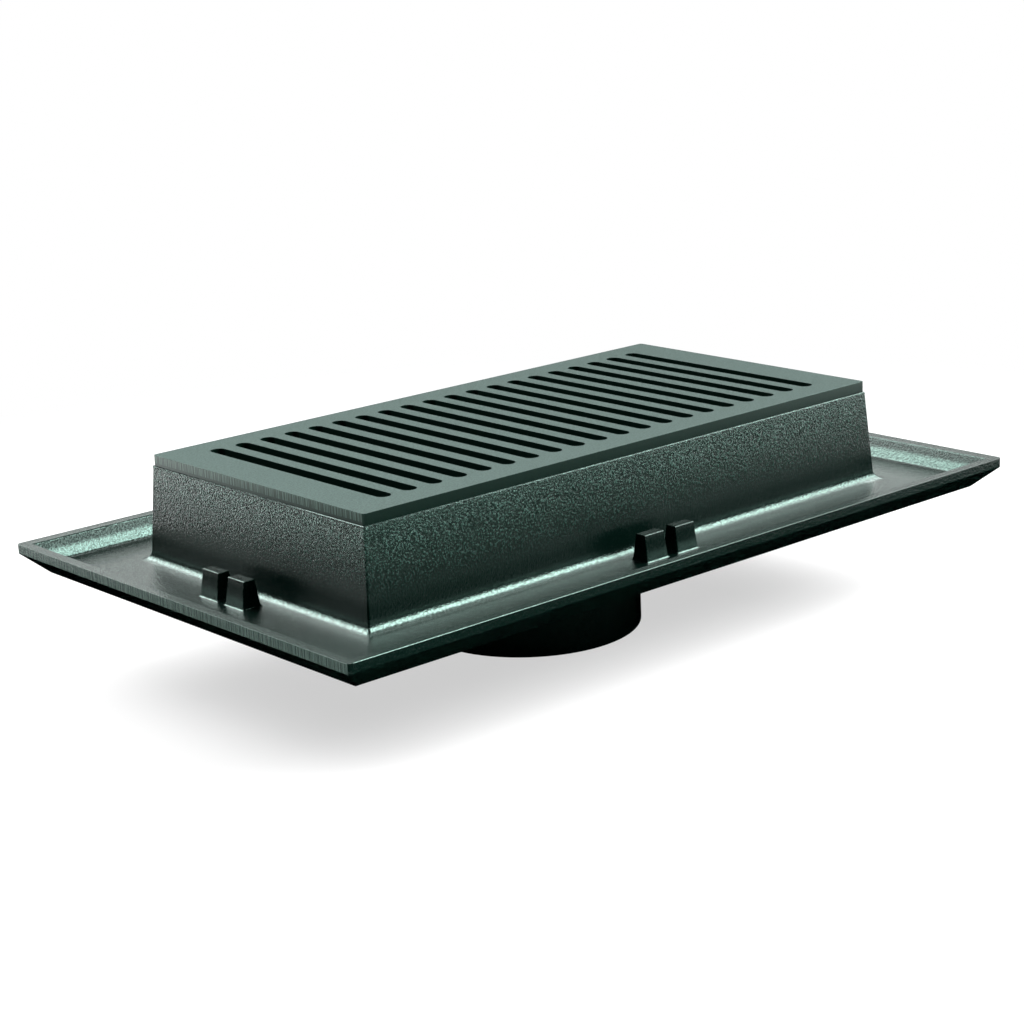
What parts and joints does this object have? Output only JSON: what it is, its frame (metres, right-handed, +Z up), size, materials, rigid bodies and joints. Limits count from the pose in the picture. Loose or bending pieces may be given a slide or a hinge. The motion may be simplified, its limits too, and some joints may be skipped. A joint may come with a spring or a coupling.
{
  "type": "floor drain",
  "caption": "Rectangular cast-iron floor drain: a loose slotted grate on a drafted box with a wide lipped tray flange for a waterproof membrane and a plain round spigot outlet.",
  "frame": {"origin": "centre of the spigot's lower end, which is the lowest point of the drain", "axes": "+Z up out of the grate, +X along the drain's length, +Y across it"},
  "size_m": [0.392, 0.242, 0.0985],
  "materials": {
    "coated_casting": "sand-cast, satin black coating",
    "coated_grate": "ground flat, thin satin coating"
  },
  "bodies": {
    "root": {"body": "coated_casting", "grate": "coated_grate"}
  },
  "joints": []
}
